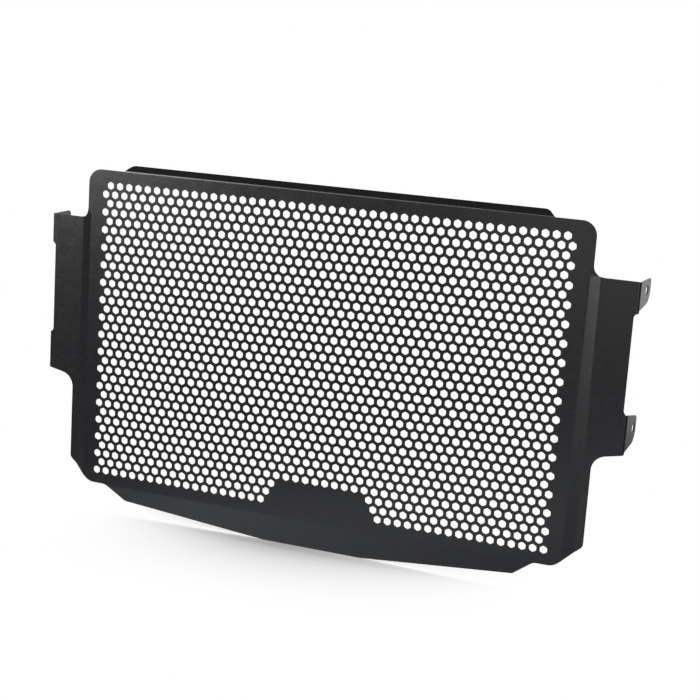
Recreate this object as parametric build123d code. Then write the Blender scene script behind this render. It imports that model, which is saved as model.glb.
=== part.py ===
from build123d import *
import math
import os

# Radiator guard for a motorcycle, one laser-cut and folded sheet. The perforated front panel has
# side wings set back by a joggle, two mounting tabs folded back on each wing, a short lip along
# the top and a wide shallow lip along the bottom.
# Millimetres. +X runs across the guard, +Y towards the radiator, +Z up. While it is drawn, the
# front face lies in Y = 0 and the panel's bottom edge in Z = 0. The finished guard has its origin
# in the middle of its bounding box.

# Sheet
sheet = 1.0
bend_radius = 1.0  # inside radius of the folds, apart from the joggles

# Front panel
panel_width = 367.2  # between the side folds
panel_height = 235.8
rim_reach = 3.5  # from the side fold to the panel's edge above the wing
panel_corner = 10.0
foot_rise = 16.0  # height of the slanted cut at each lower corner
foot_run = 18.5  # width of that cut, in from the strip's edge
foot_corner = 11.0  # rounding where that cut meets the bottom edge

# Hexagonal holes, two sides of each upright
hole_pitch = 16.0
hole_width = 11.2  # across flats
hole_border = 6.0  # least plain rim around the pattern
hole_shift = -0.6  # from the panel's middle to the pattern's middle
plain_rows = 2  # rows of the field without holes, at the pattern's foot
plain_holes = 5  # holes left out of its lowest row, one fewer in each row above
plain_shift = 0.5  # from the pattern's middle to the field's middle, in pitches

# Side wings, and the narrow strip below each wing
joggle_depth = 3.0
joggle_angle = 21.0
joggle_radius = 4.5  # inside radius of its two folds
strip_reach = 14.2  # from the side fold to the strip's edge
strip_corner = 4.5
wing_reach = 34.8  # from the side fold to the outer face of the tabs
wing_drop = 36.3  # from the panel's top edge to the wing's top edge
wing_height = 116.0
wing_taper = 12.0  # slope of the wing's lower edge, in degrees
wing_top_fillet = 8.0
wing_foot_fillet = 11.0
notch_depth = 2.8  # from the outer face of the tabs to the wing's edge between them
notch_fillet = 3.0

# Mounting tabs
tab_length = 27.5  # from the wing's front face to the tab's rear edge
tab_lean = 4.0  # outward lean, in degrees from square
tab_top_radius = 3.5
tab_foot_radius = 10.0
tab_foot_step = 1.6  # from the lower end of the tab's fold up to its lower edge
upper_tab_root = 21.0
upper_tab_end = 16.0
lower_tab_root = 27.0
lower_tab_end = 17.4
lower_tab_drop = 4.9  # from the top of the root to the top of the rear edge
bolt_hole = 6.4
upper_bolt_setback = 9.5  # from the tab's rear edge
upper_bolt_drop = 7.5  # from the tab's top edge
lower_bolt_setback = 7.0  # from the tab's rear edge
lower_bolt_drop = 7.6  # from the top of the rear edge

# Top lip
top_lip_inset = 25.7  # from the side fold to the root's end
top_lip_drop = 0.3  # from the panel's top edge to the fold
top_lip_slant = 4.5  # from the root's end in to the upper corner
top_lip_length = 5.0  # flat part behind the fold
top_lip_angle = 40.0
top_lip_corner = 6.0

# Bottom lip
bottom_lip_inset = 18.8  # from the side fold to the lip's root
bottom_lip_slant = 14.0  # from the root's end in to the lower corner
bottom_lip_flat = 76.0  # level middle of the lower edge
bottom_lip_length = 24.9  # flat part behind the fold, in the middle
bottom_lip_side = 12.4  # the same at the lower corners
bottom_lip_angle = 23.0
bottom_lip_corner = 4.0

# Worked out from the sizes above
fillet_share = 0.9  # most of an outline's side that its roundings may take
outer_radius = bend_radius + sheet
panel_side = panel_width / 2
rim_side = panel_side + rim_reach
strip_side = panel_side + strip_reach
tab_side = panel_side + wing_reach
wing_top = panel_height - wing_drop
wing_foot = wing_top - wing_height
top_fold = panel_height - top_lip_drop
top_lip_half = panel_side - top_lip_inset
upper_tab_foot = wing_top - upper_tab_root
lower_tab_top = wing_foot + lower_tab_root
lower_tab_rear_top = lower_tab_top - lower_tab_drop
tab_rear = joggle_depth + tab_length
lean = math.tan(math.radians(tab_lean))
past_tab = tab_side + lean * tab_rear + outer_radius
past_rear = tab_rear + outer_radius
row_pitch = hole_pitch * math.sqrt(3) / 2
hole_radius = hole_width / math.sqrt(3)  # to a corner
hole_web = hole_pitch - hole_width
hole_rows = int((panel_height - 2 * hole_border - 2 * hole_radius) / row_pitch) + 1
hole_columns = int((panel_width - 2 * hole_border - hole_width) / hole_pitch) + 1


def rounded_face(corners):
    """Flat face from a closed run of (x, y, radius) corners, each rounded as far as its sides allow."""
    points = [Vector(x, y) for x, y, _ in corners]
    count = len(points)
    directions = [(points[(i + 1) % count] - points[i]).normalized() for i in range(count)]
    lengths = [(points[(i + 1) % count] - points[i]).length for i in range(count)]
    half_turns = [math.radians(directions[i - 1].get_angle(directions[i])) / 2 for i in range(count)]
    runs = [corners[i][2] * math.tan(half_turns[i]) for i in range(count)]
    crowded = [(runs[i] + runs[(i + 1) % count]) / (fillet_share * lengths[i]) for i in range(count)]
    edges = []
    starts = []
    ends = []
    for i in range(count):
        run = runs[i] / max(1, crowded[i - 1], crowded[i])
        inward = (directions[i] - directions[i - 1]).normalized()
        crown = run * (1 / math.sin(half_turns[i]) - 1 / math.tan(half_turns[i]))
        starts.append(points[i] - directions[i - 1] * run)
        ends.append(points[i] + directions[i] * run)
        if run > 0:
            edges.append(ThreePointArc(starts[i], points[i] + inward * crown, ends[i]))
    for i in range(count):
        edges.append(Line(ends[i], starts[(i + 1) % count]))
    return make_face(edges)


def both_sides(right_side):
    """Closed outline from its right-hand corners, listed from one end to the other."""
    left_side = [(-x, y, radius) for x, y, radius in reversed(right_side)]
    return right_side + left_side


def folded_section():
    """Section across the guard, seen from above: panel, joggles, wings and tabs in one folded line."""
    joggle_turn = math.radians(joggle_angle)
    joggle_front = joggle_radius + sheet
    joggle_start = panel_side + joggle_front * math.tan(joggle_turn / 2)
    joggle_end = joggle_start + joggle_depth / math.tan(joggle_turn)
    right_side = [
        (joggle_start, 0),
        (joggle_end, joggle_depth),
        (tab_side, joggle_depth),
        (tab_side + lean * (past_rear - joggle_depth), past_rear),
    ]
    left_side = [(-x, y) for x, y in reversed(right_side)]
    folds = [joggle_front, joggle_radius, outer_radius]
    front_line = FilletPolyline(*left_side, *right_side, radius=folds + folds[::-1])
    return make_face(offset(front_line, amount=sheet, side=Side.LEFT))


def front_outline():
    """Outline of the panel and its wings, seen from the front."""
    notch_side = tab_side - notch_depth
    taper = math.tan(math.radians(wing_taper))
    return rounded_face(both_sides([
        (top_lip_half, top_fold, 0),
        (top_lip_half, panel_height, 0),
        (rim_side, panel_height, panel_corner),
        (rim_side, wing_top, wing_top_fillet),
        (past_tab, wing_top, 0),
        (past_tab, upper_tab_foot, 0),
        (notch_side, upper_tab_foot, notch_fillet),
        (notch_side, lower_tab_top, notch_fillet),
        (past_tab, lower_tab_top, 0),
        (past_tab, wing_foot, 0),
        (tab_side, wing_foot, 0),
        (strip_side, wing_foot - taper * (tab_side - strip_side), wing_foot_fillet),
        (strip_side, foot_rise, strip_corner),
        (strip_side - foot_run, 0, foot_corner),
    ]))


def side_outline():
    """Outline of the tabs, seen from the side, with room for the panel and wings in front of them."""
    wing_back = joggle_depth + outer_radius
    return rounded_face([
        (-sheet, 0, 0),
        (wing_back, 0, 0),
        (wing_back, wing_foot + tab_foot_step, 0),
        (tab_rear, lower_tab_rear_top - lower_tab_end, tab_foot_radius),
        (tab_rear, lower_tab_rear_top, tab_top_radius),
        (wing_back, lower_tab_top, 0),
        (wing_back, upper_tab_foot + tab_foot_step, 0),
        (tab_rear, wing_top - upper_tab_end, tab_foot_radius),
        (tab_rear, wing_top, tab_top_radius),
        (wing_back, wing_top, 0),
        (wing_back, panel_height, 0),
        (-sheet, panel_height, 0),
    ])


def bolt_drills():
    """Drills square to the tabs, two on each side."""
    upper_bolt = wing_top - upper_bolt_drop
    lower_bolt = lower_tab_rear_top - lower_bolt_drop
    drills = []
    for height, setback in ((upper_bolt, upper_bolt_setback), (lower_bolt, lower_bolt_setback)):
        depth = tab_length - setback
        place = Pos(tab_side + lean * depth, joggle_depth + depth, height) * Rot(0, 0, -tab_lean)
        drill = place * Cylinder(bolt_hole / 2, 4 * sheet, rotation=(0, 90, 0))
        drills += [drill, mirror(drill, about=Plane.YZ)]
    return drills


def folded_sheet():
    """Panel, wings and tabs with their bolt holes."""
    folded = extrude(folded_section(), amount=panel_height)
    front_trim = extrude(Plane.XZ * front_outline(), amount=past_rear, dir=(0, 1, 0))
    side_trim = extrude(Plane.YZ * side_outline(), amount=past_tab, both=True)
    return (folded & front_trim & side_trim) - bolt_drills()


def folded_lip(flat_outline, root_width, angle):
    """Lip that folds back and up from Z = 0: its fold, then its flat part in the folded plane."""
    fold_axis = Axis((0, outer_radius, 0), (-1, 0, 0))
    root = Pos(0, sheet / 2) * Rectangle(root_width, sheet)
    fold = revolve(root, axis=fold_axis, revolution_arc=angle)
    flat = extrude(Plane.XZ * flat_outline, amount=sheet, dir=(0, 1, 0))
    return fold + flat.rotate(fold_axis, angle)


def top_lip():
    """Short lip along the top edge, with rounded ends."""
    outline = rounded_face(both_sides([
        (top_lip_half - top_lip_slant, top_lip_length, top_lip_corner),
        (top_lip_half, 0, 0),
    ]))
    return Pos(0, 0, top_fold) * folded_lip(outline, 2 * top_lip_half, top_lip_angle)


def bottom_lip():
    """Lip along the bottom edge, deepest along the level middle of its lower edge."""
    half = panel_side - bottom_lip_inset
    outline = rounded_face(both_sides([
        (bottom_lip_flat / 2, bottom_lip_length, 0),
        (half - bottom_lip_slant, bottom_lip_side, bottom_lip_corner),
        (half, 0, 0),
    ]))
    return mirror(folded_lip(outline, 2 * half, bottom_lip_angle), about=Plane.XY)


def hole_outline(across, height):
    """Hexagon in the panel's front face, with a corner up."""
    corners = []
    for corner in range(6):
        turn = math.radians(60 * corner)
        corners.append((across + hole_radius * math.sin(turn), 0, height + hole_radius * math.cos(turn)))
    return Wire.make_polygon(corners)


def hole_outlines():
    """Hexagons on a lattice that fills the panel inside its rim, apart from the plain field."""
    lowest_row = (panel_height - (hole_rows - 1) * row_pitch) / 2
    outlines = []
    for row in range(hole_rows):
        height = lowest_row + row * row_pitch
        in_row = hole_columns - (hole_rows - row) % 2
        plain_half = (plain_holes - row) * hole_pitch / 2
        for column in range(in_row):
            across = (column - (in_row - 1) / 2) * hole_pitch
            in_plain_field = row < plain_rows and abs(across - plain_shift * hole_pitch) < plain_half
            if not in_plain_field:
                outlines.append(hole_outline(across + hole_shift, height))
    return outlines


def perforated(blank):
    """The blank with its pattern: the field of holes is drawn as one face and set into a window."""
    field_width = hole_columns * hole_pitch
    field_height = (hole_rows - 1) * row_pitch + 2 * hole_radius + hole_web
    field = Plane.XZ * (Pos(hole_shift, panel_height / 2) * Rectangle(field_width, field_height))
    window = extrude(field, amount=sheet, dir=(0, 1, 0))
    holes = Face(field.face().outer_wire(), hole_outlines())
    return (blank - window) + extrude(holes, amount=sheet, dir=(0, 1, 0))


blank = folded_sheet() + [top_lip(), bottom_lip()]
guard = Pos(*(-blank.bounding_box().center())) * perforated(blank)
os.makedirs("parts", exist_ok=True)
export_step(guard, "parts/radiator_guard.step", write_pcurves=False)
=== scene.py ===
import math

import bpy
import numpy as np
from mathutils import Matrix, Vector, geometry


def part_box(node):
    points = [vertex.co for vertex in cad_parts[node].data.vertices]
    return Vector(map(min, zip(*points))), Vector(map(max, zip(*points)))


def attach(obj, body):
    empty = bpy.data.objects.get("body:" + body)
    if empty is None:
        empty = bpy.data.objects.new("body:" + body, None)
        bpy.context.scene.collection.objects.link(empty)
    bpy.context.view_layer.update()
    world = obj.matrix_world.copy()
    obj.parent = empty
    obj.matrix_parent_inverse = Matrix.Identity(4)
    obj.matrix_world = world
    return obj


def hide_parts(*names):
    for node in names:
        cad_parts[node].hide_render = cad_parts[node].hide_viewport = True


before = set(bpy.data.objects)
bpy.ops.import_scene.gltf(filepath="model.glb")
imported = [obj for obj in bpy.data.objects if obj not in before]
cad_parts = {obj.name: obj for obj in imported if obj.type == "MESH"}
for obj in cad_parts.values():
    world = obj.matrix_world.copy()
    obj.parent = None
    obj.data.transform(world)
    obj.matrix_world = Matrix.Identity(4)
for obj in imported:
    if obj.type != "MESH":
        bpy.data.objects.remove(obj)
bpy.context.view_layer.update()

# The guard is one aluminium sheet: its outline, hexagonal holes and bolt holes are laser-cut in the
# flat, its sides and lips are folded, and it is coated satin black all over.

# Millimetres. A place on the flat sheet is a complex number: across from its middle, and up from the
# panel's bottom edge, both measured along the front skin.
sheet = 1.0
inner_radius = 1.0
outer_radius = inner_radius + sheet
edge_round = 0.2  # taken off each cut edge under the coat

panel_width = 367.2  # between the side folds
panel_height = 235.8
panel_side = panel_width / 2
rim_reach = 3.5  # from the side fold to the panel's edge above the wing
rim_side = panel_side + rim_reach
panel_corner = 10.0
foot_rise = 16.0  # height of the slanted cut at each lower corner
foot_run = 18.5  # width of that cut, in from the strip's edge
foot_corner = 11.0

hole_pitch = 7.5
hole_width = 5.2  # across flats
hole_corner = 0.15  # share of a side that the rounding at each of its ends takes
hole_rows = 34
hole_middle = -0.6 + 117.5j  # the pattern's middle
hole_columns = 47  # in the lowest row and each second row above it, one fewer in the others
plain_rows = 3  # rows of the field without holes, at the pattern's foot
plain_holes = 11  # holes left out of its lowest row, one fewer in each row above
plain_shift = 1.0  # from the pattern's middle to the field's middle, in pitches

joggle_depth = 3.0
joggle_turn = math.radians(21)
joggle_back_radius = 4.5
joggle_front_radius = joggle_back_radius + sheet
wing_reach = 34.8  # from the side fold to the outer face of the tabs
wing_top = 199.5
wing_foot = 83.5
wing_taper = math.radians(12)  # slope of the wing's lower edge
wing_top_fillet = 8.0
wing_foot_fillet = 11.0
strip_reach = 14.2  # from the side fold to the edge of the strip below the wing
strip_corner = 4.5
notch_depth = 2.8  # from the outer face of the tabs to the wing's edge between them
notch_fillet = 3.0

tab_rear = 30.5  # from the panel's front face to the tabs' rear edge
tab_turn = math.radians(86)
tab_top_radius = 3.5
tab_foot_radius = 10.0
tab_foot_step = 1.6  # from the lower end of a tab's fold up to its lower edge
upper_tab_foot = 178.5
upper_tab_rear_foot = 183.5
lower_tab_top = 110.5
lower_tab_rear_top = 105.6
lower_tab_rear_foot = 88.2
bolt_hole = 6.4
bolt_hole_sides = 36
upper_bolt = 192.0
upper_bolt_setback = 9.5  # from the tab's rear edge
lower_bolt = 98.0
lower_bolt_setback = 7.0  # from the tab's rear edge

top_lip_half = 157.9
top_lip_drop = 0.3  # from the panel's top edge to the fold
top_lip_slant = 4.5
top_lip_length = 5.0
top_lip_turn = math.radians(40)
top_lip_corner = 6.0
top_lip_fillet = 1.0
top_fold = panel_height - top_lip_drop

bottom_lip_half = 164.8
bottom_lip_slant = 14.0
bottom_lip_flat = 76.0  # level middle of the lower edge
bottom_lip_length = 24.9
bottom_lip_side = 12.4  # the same at the lower corners
bottom_lip_turn = math.radians(23)
bottom_lip_corner = 4.0
bottom_lip_fillet = 6.0

# The folds: each side is a run of straight and bent stretches, given as (length, turn).
joggle_tangents = (joggle_front_radius + joggle_back_radius) * math.tan(joggle_turn / 2)
joggle_web = joggle_depth / math.sin(joggle_turn) - joggle_tangents
joggle_width = joggle_depth / math.tan(joggle_turn) + joggle_tangents
wing_flat = wing_reach - joggle_width - outer_radius * math.tan(tab_turn / 2)
tab_start = joggle_depth + outer_radius * (1 - math.cos(tab_turn))
tab_flat = (tab_rear - tab_start - sheet * math.cos(tab_turn)) / math.sin(tab_turn)
side_folds = [
    (panel_side, 0.0),
    (joggle_front_radius * joggle_turn, joggle_turn),
    (joggle_web, 0.0),
    (joggle_back_radius * joggle_turn, -joggle_turn),
    (wing_flat, 0.0),
    (outer_radius * tab_turn, tab_turn),
    (tab_flat, 0.0),
]
side_spare = 4.0  # how far the side fold moves out above the wing
top_spare_run = 3.0  # past the lip's end, where the top fold moves up to the panel's edge
top_folds = [(outer_radius * top_lip_turn, top_lip_turn), (top_lip_length, 0.0)]
bottom_folds = [(outer_radius * bottom_lip_turn, bottom_lip_turn), (bottom_lip_length, 0.0)]


def folded_line(run, folds):
    """Place and heading at each run along a folded line, the place as a complex number: on, and back.

    Over a share of a stretch the heading grows by that share of its turn, and the step is the chord of
    the arc: its length times sin(half the turn) / (half the turn), along the heading in its middle.
    """
    place = np.zeros(run.shape, complex)
    heading = np.zeros(run.shape)
    for length, turn in folds:
        part = np.clip(run, 0, length)
        bend = turn * part / length
        place = place + part * np.sinc(bend / (2 * np.pi)) * np.exp(1j * (heading + bend / 2))
        heading = heading + bend
        run = run - part
    return place, heading


def eased(share):
    """Smooth step: 0 for shares below 0, 1 for shares above 1, and 3 s^2 - 2 s^3 between them."""
    share = np.clip(share, 0, 1)
    return share**2 * (3 - 2 * share)


def folded(flat, depth):
    """Folded places of points of the flat sheet that lie at a depth behind its front skin.

    The sides fold back by the run from the middle, and the lips by the run past the top fold or the
    panel's bottom edge. The depth is then laid off square to the folded skin. Above the wing the side
    fold moves out by a smooth step, past the panel's edge, and past the top lip's ends the top fold
    moves up in the same way, so that the rim stays flat there.
    """
    out = np.minimum(side_spare * eased((flat.imag - wing_top) / wing_top_fillet), abs(flat.real))
    fold = top_fold + top_lip_drop * eased((abs(flat.real) - top_lip_half) / top_spare_run)
    side, side_heading = folded_line(abs(flat.real) - out, side_folds)
    top, top_heading = folded_line(np.maximum(flat.imag - fold, 0), top_folds)
    foot, foot_heading = folded_line(np.maximum(-flat.imag, 0), bottom_folds)
    x = np.sign(flat.real) * (out + side.real - depth * np.sin(side_heading))
    y = side.imag + top.imag + foot.imag
    y = y + depth * np.cos(side_heading) * np.cos(top_heading) * np.cos(foot_heading)
    z = np.clip(flat.imag, 0, fold) + top.real - foot.real
    z = z + depth * (np.sin(foot_heading) - np.sin(top_heading))
    return np.column_stack([x, y, z])


# The outline of the flat sheet, from the middle of its lower edge up its right side.
joggle_flat = (joggle_front_radius + joggle_back_radius) * joggle_turn + joggle_web
wing_start = panel_side + joggle_flat
strip_edge = wing_start + strip_reach - joggle_width
notch_edge = wing_start + wing_reach - notch_depth - joggle_width
tab_root = wing_start + wing_flat + outer_radius * tab_turn
tab_end = tab_root + tab_flat
strip_top = wing_foot - math.tan(wing_taper) * (wing_reach - strip_reach)
top_lip_root = top_fold + outer_radius * top_lip_turn
top_lip_foot = top_lip_half + (top_lip_root - panel_height) * top_lip_slant / top_lip_length
bottom_lip_root = -outer_radius * bottom_lip_turn
bottom_lip_foot = bottom_lip_half - bottom_lip_root * bottom_lip_slant / bottom_lip_side
right_corners = [
    (bottom_lip_flat / 2, bottom_lip_root - bottom_lip_length, 0),
    (bottom_lip_half - bottom_lip_slant, bottom_lip_root - bottom_lip_side, bottom_lip_corner),
    (bottom_lip_foot, 0, bottom_lip_fillet),
    (panel_side + strip_reach - foot_run, 0, foot_corner),
    (strip_edge, foot_rise, strip_corner),
    (strip_edge, strip_top, wing_foot_fillet),
    (tab_root, wing_foot, 0),
    (tab_root, wing_foot + tab_foot_step, 0),
    (tab_end, lower_tab_rear_foot, tab_foot_radius),
    (tab_end, lower_tab_rear_top, tab_top_radius),
    (tab_root, lower_tab_top, 0),
    (notch_edge, lower_tab_top, notch_fillet),
    (notch_edge, upper_tab_foot, notch_fillet),
    (tab_root, upper_tab_foot, 0),
    (tab_root, upper_tab_foot + tab_foot_step, 0),
    (tab_end, upper_tab_rear_foot, tab_foot_radius),
    (tab_end, wing_top, tab_top_radius),
    (rim_side, wing_top, wing_top_fillet),
    (rim_side, panel_height, panel_corner),
    (top_lip_foot, panel_height, top_lip_fillet),
    (top_lip_half - top_lip_slant, top_lip_root + top_lip_length, top_lip_corner),
]


corner_steps = 10  # in the arc of each rounded corner
same_point = 1e-6  # points of the outline that lie closer are one


def rounded_outline(right_side):
    """Closed line through the corners of the right side and their mirror images, each corner an arc.

    An arc of radius r that turns by t starts r tan(t / 2) before its corner, and its points are the
    start carried round the arc's middle by equal shares of t. A radius of 0 leaves the corner itself.
    """
    across, up, radius = np.array(right_side).T
    corner = np.concatenate([across + 1j * up, -across[::-1] + 1j * up[::-1]])
    radius = np.concatenate([radius, radius[::-1]])
    onward = np.roll(corner, -1) - corner
    onward = onward / abs(onward)
    arriving = np.roll(onward, 1)
    turn = np.angle(onward / arriving)
    start = corner - arriving * radius * np.tan(abs(turn) / 2)
    middle = start + 1j * arriving * np.sign(turn) * radius
    share = np.linspace(0, 1, corner_steps + 1)
    points = middle[:, None] + (start - middle)[:, None] * np.exp(1j * turn[:, None] * share)
    points = points.ravel()
    return points[abs(points - np.roll(points, 1)) > same_point]


def hole_centres():
    """Middles of the hexagonal holes: rows on a triangular lattice, less the holes of the plain field."""
    row, column = np.mgrid[0:hole_rows, 0:hole_columns]
    short = row % 2
    across = column - (hole_columns - 1 - short) / 2
    up = (row - (hole_rows - 1) / 2) * math.sqrt(3) / 2
    plain = (row < plain_rows) & (abs(across - plain_shift) < (plain_holes - row) / 2)
    kept = (column < hole_columns - short) & ~plain
    return hole_middle + hole_pitch * (across[kept] + 1j * up[kept])


def hexagons(centres, width):
    """Hexagons round the centres, one row of points each, with a corner up and every corner cut off."""
    corner = 1j * width / math.sqrt(3) * np.exp(2j * np.pi * np.arange(6) / 6)
    before = corner + hole_corner * (np.roll(corner, 1) - corner)
    after = corner + hole_corner * (np.roll(corner, -1) - corner)
    return centres[:, None] + np.column_stack([before, after]).ravel()


def circles(centres, radius, sides):
    """Round holes as regular polygons, one row of points each."""
    return centres[:, None] + radius * np.exp(2j * np.pi * np.arange(sides) / sides)


bend_step = math.radians(9)  # most turn between two lines of a bend
bend_margin = 0.4  # from a bend to the line beside it


def bend_marks(folds, start):
    """Runs of the lines that divide every bend evenly, with one line close before and after it."""
    marks = []
    for length, turn in folds:
        if turn:
            steps = math.ceil(abs(turn) / bend_step)
            inside = start + length * np.linspace(0, 1, steps + 1)
            marks += [start - bend_margin, *inside, start + length + bend_margin]
        start = start + length
    return np.array(marks)


outline = rounded_outline(right_corners)
bolts = np.array([
    tab_end - upper_bolt_setback / math.sin(tab_turn) + 1j * upper_bolt,
    tab_end - lower_bolt_setback / math.sin(tab_turn) + 1j * lower_bolt,
])
bolts = np.concatenate([bolts, -bolts.conj()])

# Lines on the flat sheet where its triangles are split, so that it bends along them: the side folds, the
# two lips' folds, and the stretches where a fold moves out to the edge.
end_steps = 6
rim_steps = 8
side_marks = bend_marks(side_folds, 0.0)
side_marks = np.concatenate([-side_marks, side_marks])
side_lines = np.stack([side_marks + 0j, side_marks + 1j * (wing_top + wing_top_fillet)], axis=1)
foot_marks = -bend_marks(bottom_folds, 0.0)
foot_lines = np.stack([-panel_side + 1j * foot_marks, panel_side + 1j * foot_marks], axis=1)
top_marks = bend_marks(top_folds, top_fold)
top_reach = top_lip_half + top_spare_run
top_lines = np.stack([-top_reach + 1j * top_marks, top_reach + 1j * top_marks], axis=1)
end_marks = top_lip_half + top_spare_run * np.linspace(0, 1, end_steps + 1)
end_lines = np.stack([end_marks + 1j * (top_fold - bend_margin), end_marks + 1j * panel_height], axis=1)
rim_marks = wing_top + wing_top_fillet * np.linspace(0, 1, rim_steps + 1)
rim_lines = np.stack([panel_side + 1j * rim_marks, rim_side + wing_top_fillet + 1j * rim_marks], axis=1)
mirrored_lines = np.concatenate([rim_lines, end_lines])
fold_lines = np.concatenate([side_lines, foot_lines, top_lines, mirrored_lines, -mirrored_lines.conj()])


merge_distance = 1e-4  # points of the cut sheet that lie closer are one
all_triangles = 0  # the kind of triangulation: over the whole hull, with each loop's triangles marked


def cut_sheet(loops, lines):
    """Triangles of the flat sheet: inside the first loop, outside the others, and split along the lines."""
    points = np.concatenate([*loops, lines.ravel()])
    ends = np.cumsum([len(loop) for loop in loops])
    loop_faces = [list(range(end - len(loop), end)) for loop, end in zip(loops, ends)]
    line_edges = (ends[-1] + np.arange(lines.size).reshape(-1, 2)).tolist()
    coordinates = np.column_stack([points.real, points.imag]).tolist()
    vertices, _, cells, _, _, cell_loops = geometry.delaunay_2d_cdt(
        coordinates, line_edges, loop_faces, all_triangles, merge_distance
    )
    triangles = [cell for cell, inside in zip(cells, cell_loops) if inside == [0]]
    across, up = np.array(vertices).T
    used, triangles = np.unique(np.array(triangles), return_inverse=True)
    return across[used] + 1j * up[used], triangles.reshape(-1, 3)


holes = [*hexagons(hole_centres(), hole_width), *circles(bolts, bolt_hole / 2, bolt_hole_sides)]
flat, triangles = cut_sheet([outline, *holes], fold_lines)


def thick_sheet(flat, triangles):
    """Points and faces of the folded sheet: front skin, back skin, and a wall with rounded edges.

    Each cut edge has the sheet on its left. The skins stop short of it by the mitred edge rounding, and
    the wall runs over it in three bands: a chamfer, the cut face and the other chamfer.
    """
    count = len(flat)
    edges = np.concatenate([triangles[:, [0, 1]], triangles[:, [1, 2]], triangles[:, [2, 0]]])
    is_cut = ~np.isin(edges @ [count, 1], edges[:, ::-1] @ [count, 1])
    begin, end = edges[is_cut].T
    step = flat[end] - flat[begin]
    step = step / abs(step)
    onward = np.zeros(count, complex)
    onward[begin] = step
    arriving = np.zeros(count, complex)
    arriving[end] = step
    inward = 1j * (onward + arriving) / (1 + (onward.conj() * arriving).real)
    skin = flat + edge_round * inward
    points = np.concatenate([
        folded(skin, 0.0),
        folded(flat[begin], edge_round),
        folded(flat[begin], sheet - edge_round),
        folded(skin, sheet),
    ])
    ring = np.zeros(count, int)
    ring[begin] = np.arange(len(begin))
    levels = [0, count, count + len(begin), count + 2 * len(begin)]
    begins = [begin, levels[1] + ring[begin], levels[2] + ring[begin], levels[3] + begin]
    ends = [end, levels[1] + ring[end], levels[2] + ring[end], levels[3] + end]
    faces = triangles.tolist() + (levels[3] + triangles[:, ::-1]).tolist()
    for band in range(len(begins) - 1):
        wall = np.column_stack([begins[band], begins[band + 1], ends[band + 1], ends[band]])
        faces += wall.tolist()
    return points, faces


points, faces = thick_sheet(flat, triangles)
sharp = np.concatenate([folded(flat, 0.0), folded(flat, sheet)])
sharp_middle = (sharp.min(axis=0) + sharp.max(axis=0)) / 2
metre = 1000.0
sharp_angle = math.radians(35)  # between faces, where the shading breaks
guard_low, guard_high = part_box("radiator_guard")
points = (points - sharp_middle) / metre + np.array((guard_low + guard_high) / 2)

mesh = bpy.data.meshes.new("guard_sheet")
mesh.from_pydata(points.tolist(), [], faces)
mesh.shade_smooth()
mesh.set_sharp_from_angle(angle=sharp_angle)
guard = bpy.data.objects.new("guard_sheet", mesh)
bpy.context.scene.collection.objects.link(guard)


coat_dark = (0.0062, 0.0064, 0.0073, 1)
coat_light = (0.0074, 0.0076, 0.0087, 1)
tone_patches = 18.0  # to the metre
tone_detail = 3.0
tone_range = (0.35, 0.65)  # of the noise, from the dark tone to the light one
coat_roughness = (0.25, 0.29)
gloss_patches = 160.0
gloss_detail = 2.0
gloss_range = (0.3, 0.7)  # of the noise, from the least roughness to the most
peel_bumps = 1100.0
peel_detail = 2.0
peel_height = 0.00003
peel_strength = 0.35


def black_coat():
    """Satin black powder coat: near black, with a fine orange-peel skin and a slightly uneven gloss."""
    material = bpy.data.materials.new("satin_black_coat")
    material.use_nodes = True
    nodes = material.node_tree.nodes
    links = material.node_tree.links
    shader = nodes["Principled BSDF"]
    place = nodes.new("ShaderNodeTexCoord").outputs["Object"]

    def noise(scale, detail):
        """Noise with so many patches to the metre, and detail in so many finer steps."""
        texture = nodes.new("ShaderNodeTexNoise")
        texture.inputs["Scale"].default_value = scale
        texture.inputs["Detail"].default_value = detail
        links.new(place, texture.inputs["Vector"])
        return texture.outputs["Fac"]

    tone = nodes.new("ShaderNodeValToRGB")
    for stop, position, colour in zip(tone.color_ramp.elements, tone_range, (coat_dark, coat_light)):
        stop.position = position
        stop.color = colour
    links.new(noise(tone_patches, tone_detail), tone.inputs["Fac"])
    links.new(tone.outputs["Color"], shader.inputs["Base Color"])

    gloss = nodes.new("ShaderNodeMapRange")
    gloss.inputs["From Min"].default_value = gloss_range[0]
    gloss.inputs["From Max"].default_value = gloss_range[1]
    gloss.inputs["To Min"].default_value = coat_roughness[0]
    gloss.inputs["To Max"].default_value = coat_roughness[1]
    links.new(noise(gloss_patches, gloss_detail), gloss.inputs["Value"])
    links.new(gloss.outputs["Result"], shader.inputs["Roughness"])

    peel = nodes.new("ShaderNodeBump")
    peel.inputs["Strength"].default_value = peel_strength
    peel.inputs["Distance"].default_value = peel_height
    links.new(noise(peel_bumps, peel_detail), peel.inputs["Height"])
    links.new(peel.outputs["Normal"], shader.inputs["Normal"])
    return material


mesh.materials.append(black_coat())
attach(guard, "root")
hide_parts("radiator_guard")

# The floor is a wide pale sheet of paper under the guard's lowest edge. It takes the guard's soft shadow,
# and fades to plain white away from it. In reflections it shows painted light: a bright band in front and a
# bright back.
floor_half = 6.0
floor_corners = floor_half * np.array([[-1, -1], [1, -1], [1, 1], [-1, 1]])
floor_points = np.column_stack([floor_corners, np.full(len(floor_corners), guard_low.z)])
floor_mesh = bpy.data.meshes.new("floor")
floor_mesh.from_pydata(floor_points.tolist(), [], [(0, 1, 2, 3)])
floor = bpy.data.objects.new("floor", floor_mesh)
bpy.context.scene.collection.objects.link(floor)


def between(tree, share, low, high):
    """Number that goes from low to high as the share goes from 0 to 1; each end is a number or a socket."""
    blend = tree.nodes.new("ShaderNodeMapRange")
    tree.links.new(share, blend.inputs["Value"])
    for name, end in (("To Min", low), ("To Max", high)):
        if isinstance(end, float):
            blend.inputs[name].default_value = end
        else:
            tree.links.new(end, blend.inputs[name])
    return blend.outputs["Result"]


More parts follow.
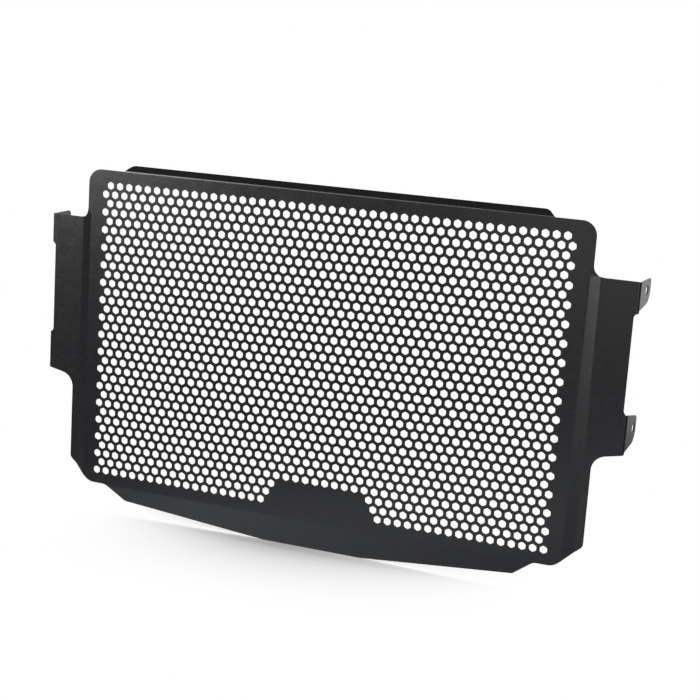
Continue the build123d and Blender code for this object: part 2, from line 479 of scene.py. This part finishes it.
def larger(tree, first, second):
    """The larger of two sockets."""
    node = tree.nodes.new("ShaderNodeMath")
    node.operation = "MAXIMUM"
    tree.links.new(first, node.inputs[0])
    tree.links.new(second, node.inputs[1])
    return node.outputs["Value"]


def linear_step(tree, value, start, end):
    """0 before the start, 1 past the end, and in proportion between them."""
    step = tree.nodes.new("ShaderNodeMapRange")
    step.inputs["From Min"].default_value = start
    step.inputs["From Max"].default_value = end
    tree.links.new(value, step.inputs["Value"])
    return step.outputs["Result"]


def smooth_step(tree, value, start, end):
    """The linear step's share s turned into 3 s^2 - 2 s^3."""
    step = linear_step(tree, value, start, end)
    step.node.interpolation_type = "SMOOTHSTEP"
    return step


def along(tree, vector, direction):
    """How far a place or direction lies along another direction."""
    part = tree.nodes.new("ShaderNodeVectorMath")
    part.operation = "DOT_PRODUCT"
    part.inputs[1].default_value = direction
    tree.links.new(vector, part.inputs[0])
    return part.outputs["Value"]


shadow_middle = -0.025  # across, where the floor keeps the most of the guard's shadow
shadow_left = 0.16  # from there to plain white at the left
shadow_right = 0.19  # the same at the right
shadow_near = 0.015  # from the guard to where the floor starts to fade, in front and behind
shadow_far = 0.13  # from the guard to plain white
shadow_power = 0.6  # of the share of the way from near to far
paper_colour = (0.86, 0.86, 0.87, 1)
# Painted light on the floor, seen only in reflections: a tinted emission whose band of levels is a painted
# pool of light in front of the guard, and whose back level is a painted bright back.
painted_light_colour = (0.94, 0.97, 1.0, 1)
painted_band_across = (0.72, 0.69, 0)  # direction across the floor's bright band
painted_band_half = 0.8  # half of the width over which its brightness is given
painted_band_places = [0, 0.34, 0.45, 0.50, 0.56, 0.69, 1]  # shares of that width
painted_band_levels = [0.10, 0.22, 0.80, 0.66, 0.42, 0.05, 0.05]  # brightness at those places
backward = (-0.3, 1, 0)  # the way that the bright back of the studio lies
painted_back_start = 0.1  # that way, where the floor's reflection starts to brighten
painted_back_end = 0.65
painted_back_level = 0.92


def white_paper():
    """Pale matt paper that fades to plain white where it is seen, and shows painted light in reflections.

    Across, the fade is a smooth step to each side of the shadow's middle. Away from the guard it is a power
    of the share of the way from near to far. The two join as 1 - (1 - a) (1 - b). In reflections the floor
    is painted light, an emission in place of its lit paper: a painted band of light across the floor in
    front, or a painted bright back of the studio where that is brighter.
    """
    material = bpy.data.materials.new("white_paper")
    material.use_nodes = True
    tree = material.node_tree
    nodes = tree.nodes
    links = tree.links
    nodes.clear()
    place = nodes.new("ShaderNodeTexCoord").outputs["Object"]
    rightward = along(tree, place, (1, 0, 0))
    leftward = along(tree, place, (-1, 0, 0))
    depth = larger(tree, along(tree, place, (0, -1, 0)), along(tree, place, (0, 1, 0)))
    right_end = smooth_step(tree, rightward, shadow_middle, shadow_middle + shadow_right)
    left_end = smooth_step(tree, leftward, -shadow_middle, shadow_left - shadow_middle)
    away = nodes.new("ShaderNodeMath")
    away.operation = "POWER"
    away.inputs[1].default_value = shadow_power
    links.new(linear_step(tree, depth, shadow_near, shadow_far), away.inputs[0])
    fade = between(tree, larger(tree, left_end, right_end), away.outputs["Value"], 1.0)
    path = nodes.new("ShaderNodeLightPath")
    seen = larger(tree, path.outputs["Is Camera Ray"], path.outputs["Is Transmission Ray"])
    paper = nodes.new("ShaderNodeBsdfDiffuse")
    paper.inputs["Color"].default_value = paper_colour
    white = nodes.new("ShaderNodeEmission")
    white.inputs["Strength"].default_value = 1.0
    near = nodes.new("ShaderNodeMixShader")
    links.new(between(tree, seen, 0.0, fade), near.inputs["Fac"])
    links.new(paper.outputs["BSDF"], near.inputs[1])
    links.new(white.outputs["Emission"], near.inputs[2])

    # Painted light for reflections: the band's levels and the back's level, given as emission instead of the
    # lit paper.
    band = nodes.new("ShaderNodeValToRGB")
    for position in painted_band_places[1:-1]:
        band.color_ramp.elements.new(position)
    for stop, brightness in zip(band.color_ramp.elements, painted_band_levels):
        stop.color = (brightness, brightness, brightness, 1)
    across = along(tree, place, painted_band_across)
    links.new(linear_step(tree, across, -painted_band_half, painted_band_half), band.inputs["Fac"])
    back = smooth_step(tree, along(tree, place, backward), painted_back_start, painted_back_end)
    painted_glow = nodes.new("ShaderNodeEmission")
    painted_glow.inputs["Color"].default_value = painted_light_colour
    strength = larger(tree, band.outputs["Color"], between(tree, back, 0.0, painted_back_level))
    links.new(strength, painted_glow.inputs["Strength"])
    mix = nodes.new("ShaderNodeMixShader")
    links.new(path.outputs["Is Glossy Ray"], mix.inputs["Fac"])
    links.new(near.outputs["Shader"], mix.inputs[1])
    links.new(painted_glow.outputs["Emission"], mix.inputs[2])
    output = nodes.new("ShaderNodeOutputMaterial")
    links.new(mix.outputs["Shader"], output.inputs["Surface"])
    return material


floor_mesh.materials.append(white_paper())

# The light is a plain studio's: a faint even surround, and a softbox high on the right for the floor. A tall
# softbox on the left and a wide one high in front brighten the top fold and the panel's left side, and two
# small low ones its right side and the right joggle.
surround_light = 0.1
front_level = 0.05  # of the surround in reflections, but for its bright back
sky_start = 0.2  # along the way back, where the surround starts to brighten
sky_end = 0.7


def studio_world():
    """White where it is seen directly, faint and even as light, and dim in reflections but for its back."""
    world = bpy.data.worlds.new("studio")
    world.use_nodes = True
    tree = world.node_tree
    nodes = tree.nodes
    links = tree.links
    nodes.clear()
    direction = nodes.new("ShaderNodeTexCoord").outputs["Generated"]
    path = nodes.new("ShaderNodeLightPath")
    seen = larger(tree, path.outputs["Is Camera Ray"], path.outputs["Is Transmission Ray"])
    back = smooth_step(tree, along(tree, direction, backward), sky_start, sky_end)
    reflected = between(tree, back, front_level, 1.0)
    surround = nodes.new("ShaderNodeBackground")
    surround.inputs["Color"].default_value = (1, 1, 1, 1)
    direct = between(tree, seen, surround_light, 1.0)
    strength = between(tree, path.outputs["Is Glossy Ray"], direct, reflected)
    links.new(strength, surround.inputs["Strength"])
    output = nodes.new("ShaderNodeOutputWorld")
    links.new(surround.outputs["Background"], output.inputs["Surface"])
    return world


def softbox(name, place, width, height, watts):
    """Rectangular lamp that faces the guard's middle."""
    lamp = bpy.data.lights.new(name, "AREA")
    lamp.shape = "RECTANGLE"
    lamp.size = width
    lamp.size_y = height
    lamp.energy = watts
    holder = bpy.data.objects.new(name, lamp)
    holder.location = place
    holder.rotation_euler = (-Vector(place)).to_track_quat("-Z", "Y").to_euler()
    bpy.context.scene.collection.objects.link(holder)


bpy.context.scene.world = studio_world()
softbox("top_softbox", place=(1.2, 0.3, 1.4), width=0.8, height=0.8, watts=34.0)
softbox("left_softbox", place=(-0.88, -1.0, 0.44), width=0.48, height=0.75, watts=13.0)
softbox("front_softbox", place=(0.05, -1.2, 0.0), width=0.5, height=0.24, watts=0.4)
softbox("right_softbox", place=(0.75, -0.95, -0.02), width=0.3, height=0.2, watts=0.85)
softbox("front_strip", place=(-0.47, -1.2, 0.62), width=0.9, height=0.5, watts=6.5)
bpy.context.scene.view_settings.view_transform = "Standard"

# The camera stands in front of the guard, to its right and a little above it, at the photograph's viewing
# angle. It looks ahead by its turn from straight back and its tilt down, and is rolled about that line.
camera_place = Vector((0.3737, -0.98515, 0.2343))
camera_turn = math.radians(19.87)
camera_tilt = math.radians(11.71)
camera_roll = math.radians(3.867)
camera_lens = 77.94
camera_data = bpy.data.cameras.new("camera")
camera_data.lens = camera_lens
camera = bpy.data.objects.new("camera", camera_data)
ahead = Vector((
    -math.sin(camera_turn) * math.cos(camera_tilt),
    math.cos(camera_turn) * math.cos(camera_tilt),
    -math.sin(camera_tilt),
))
level = Vector((math.cos(camera_turn), math.sin(camera_turn), 0))
right = math.cos(camera_roll) * level + math.sin(camera_roll) * level.cross(ahead)
above = right.cross(ahead)
turn = Matrix((right, above, -ahead)).transposed()
camera.matrix_world = Matrix.Translation(camera_place) @ turn.to_4x4()
bpy.context.scene.collection.objects.link(camera)
bpy.context.scene.camera = camera
